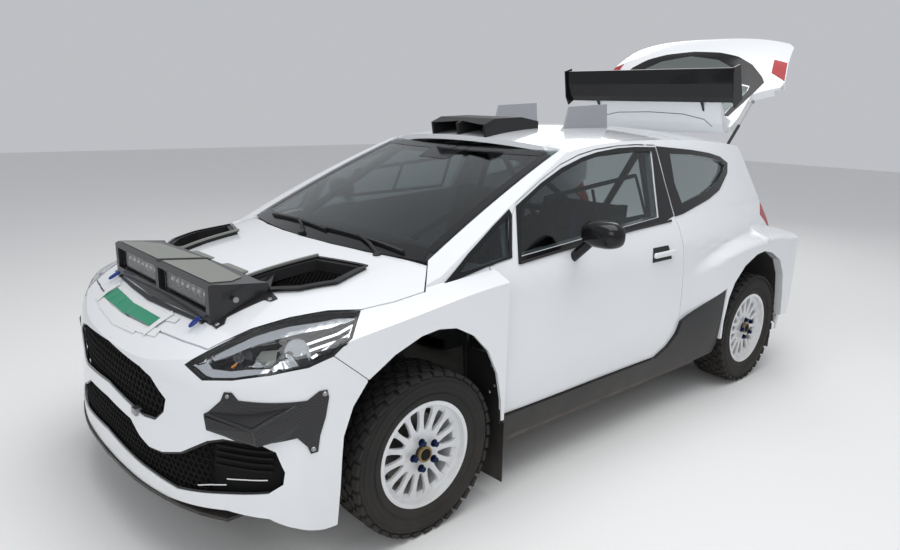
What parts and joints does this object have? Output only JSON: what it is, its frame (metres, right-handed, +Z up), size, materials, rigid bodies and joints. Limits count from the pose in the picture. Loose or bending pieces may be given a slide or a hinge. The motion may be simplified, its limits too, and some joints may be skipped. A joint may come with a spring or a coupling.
{
  "type": "rally car",
  "caption": "Compact three-door rally car with tailgate raised: opening doors, bonnet and tailgate, steered front wheels, roll cage and two seats.",
  "frame": {"origin": "on the ground on the centre line, half way between the axles", "axes": "+X forward, +Y to the car's left, +Z up"},
  "size_m": [4.1619, 2.13, 2.0449],
  "materials": {
    "white_paint": "gloss",
    "black_plastic": "satin",
    "black_gloss": "gloss",
    "clear_glass": "polished",
    "lamp_glass": "polished",
    "red_lamp": "gloss",
    "wheel_white": "satin",
    "tyre_rubber": "rough",
    "cage_black": "satin",
    "underbody": "matte",
    "dark_steel": "satin",
    "cast_grey": "rough",
    "seat_fabric": "matte",
    "fin_grey": "satin",
    "rubber_black": "matte"
  },
  "bodies": {
    "body": {"body_sides": "white_paint", "roof": "white_paint", "fixed_glass": "clear_glass", "front_wings": "white_paint", "front_bumper": "white_paint", "headlamps": "lamp_glass", "rear_bumper": "white_paint", "tail_lamps": "red_lamp", "sills": "black_plastic", "floor_pan": "underbody", "suspension": "dark_steel", "inner_wings": "underbody", "engine_block": "cast_grey", "roll_cage": "cage_black", "seats": "seat_fabric", "dashboard": "black_plastic", "roof_scoop": "black_plastic", "roof_fins": "fin_grey", "corner_lamps": "black_plastic", "grilles": "black_plastic", "splitter": "black_plastic", "cowl": "black_plastic", "mudflaps": "rubber_black", "exhaust": "dark_steel"},
    "bonnet": {"bonnet": "white_paint", "bonnet_vents": "black_plastic", "lamp_pod": "black_plastic"},
    "tailgate": {"tailgate": "white_paint", "tailgate_glass": "clear_glass", "tailgate_lamps": "red_lamp", "rear_wing": "black_plastic"},
    "steering_wheel": {"steering_wheel": "rubber_black"},
    "steering_rack": {"steering_rack": "dark_steel"},
    "door_left": {"door_left": "white_paint", "door_glass_left": "clear_glass", "mirror_left": "black_gloss"},
    "knuckle_left": {"knuckle_left": "dark_steel"},
    "gas_strut_cylinder_left": {"gas_strut_cylinder_left": "black_plastic"},
    "gas_strut_rod_left": {"gas_strut_rod_left": "dark_steel"},
    "door_right": {"door_right": "white_paint", "door_glass_right": "clear_glass", "mirror_right": "black_gloss"},
    "knuckle_right": {"knuckle_right": "dark_steel"},
    "gas_strut_cylinder_right": {"gas_strut_cylinder_right": "black_plastic"},
    "gas_strut_rod_right": {"gas_strut_rod_right": "dark_steel"},
    "wheel_front_left": {"rim_front_left": "wheel_white", "tyre_front_left": "tyre_rubber"},
    "wheel_front_right": {"rim_front_right": "wheel_white", "tyre_front_right": "tyre_rubber"},
    "wheel_rear_left": {"rim_rear_left": "wheel_white", "tyre_rear_left": "tyre_rubber"},
    "wheel_rear_right": {"rim_rear_right": "wheel_white", "tyre_rear_right": "tyre_rubber"}
  },
  "joints": [
    {"name": "steer_left", "type": "hinge", "parent": "body", "child": "knuckle_left", "pos_m": [1.2465, 0.705, 0.323], "axis": [0, -0.2079, 0.9781], "range_deg": [-28, 28]},
    {"name": "steer_right", "type": "hinge", "parent": "body", "child": "knuckle_right", "pos_m": [1.2465, -0.705, 0.323], "axis": [0, 0.2079, 0.9781], "range_deg": [-28, 28]},
    {"name": "spin_front_left", "type": "hinge", "parent": "knuckle_left", "child": "wheel_front_left", "pos_m": [1.2465, 0.803, 0.323], "axis": [0, 1, 0], "continuous": true},
    {"name": "spin_front_right", "type": "hinge", "parent": "knuckle_right", "child": "wheel_front_right", "pos_m": [1.2465, -0.803, 0.323], "axis": [0, 1, 0], "continuous": true},
    {"name": "spin_rear_left", "type": "hinge", "parent": "body", "child": "wheel_rear_left", "pos_m": [-1.2465, 0.803, 0.323], "axis": [0, 1, 0], "continuous": true},
    {"name": "spin_rear_right", "type": "hinge", "parent": "body", "child": "wheel_rear_right", "pos_m": [-1.2465, -0.803, 0.323], "axis": [0, 1, 0], "continuous": true},
    {"name": "steering_wheel_turn", "type": "hinge", "parent": "body", "child": "steering_wheel", "pos_m": [0.43, 0.35, 0.9], "axis": [-0.9509, 0, 0.3096], "range_deg": [-336.5, 336.5]},
    {"name": "rack_slide", "type": "slide", "parent": "body", "child": "steering_rack", "axis": [0, 1, 0], "range_m": [-0.0588, 0.0588]},
    {"name": "door_hinge_left", "type": "hinge", "parent": "body", "child": "door_left", "pos_m": [0.849, 0.866, 0.6], "axis": [0, 0, -1], "range_deg": [0, 65]},
    {"name": "door_hinge_right", "type": "hinge", "parent": "body", "child": "door_right", "pos_m": [0.849, -0.866, 0.6], "axis": [0, 0, 1], "range_deg": [0, 65]},
    {"name": "bonnet_hinge", "type": "hinge", "parent": "body", "child": "bonnet", "pos_m": [1.058, 0, 0.99], "axis": [0, -1, 0], "range_deg": [0, 50]},
    {"name": "tailgate_hinge", "type": "hinge", "parent": "body", "child": "tailgate", "pos_m": [-1.446, 0, 1.424], "axis": [0, 1, 0], "range_deg": [-108, 0]},
    {"name": "gas_strut_pivot_left", "type": "hinge", "parent": "body", "child": "gas_strut_cylinder_left", "pos_m": [-1.34, 0.549, 1.3], "axis": [0, 1, 0], "range_deg": [-78.2, 0]},
    {"name": "gas_strut_slide_left", "type": "slide", "parent": "gas_strut_cylinder_left", "child": "gas_strut_rod_left", "axis": [-0.7089, 0, 0.7053], "range_m": [-0.189, 0]},
    {"name": "gas_strut_pivot_right", "type": "hinge", "parent": "body", "child": "gas_strut_cylinder_right", "pos_m": [-1.34, -0.549, 1.3], "axis": [0, 1, 0], "range_deg": [-78.2, 0]},
    {"name": "gas_strut_slide_right", "type": "slide", "parent": "gas_strut_cylinder_right", "child": "gas_strut_rod_right", "axis": [-0.7089, 0, 0.7053], "range_m": [-0.189, 0]}
  ],
  "couplings": [
    {"joint": "steer_right", "follows": "steer_left", "ratio": 1},
    {"joint": "steering_wheel_turn", "follows": "steer_left", "ratio": 12},
    {"joint": "rack_slide", "follows": "steer_left", "m_per_rad": -0.12},
    {"joint": "gas_strut_pivot_left", "follows": "tailgate_hinge", "ratio": 0.7219},
    {"joint": "gas_strut_slide_left", "follows": "tailgate_hinge", "m_per_rad": 0.09999},
    {"joint": "gas_strut_pivot_right", "follows": "tailgate_hinge", "ratio": 0.7219},
    {"joint": "gas_strut_slide_right", "follows": "tailgate_hinge", "m_per_rad": 0.09999}
  ]
}
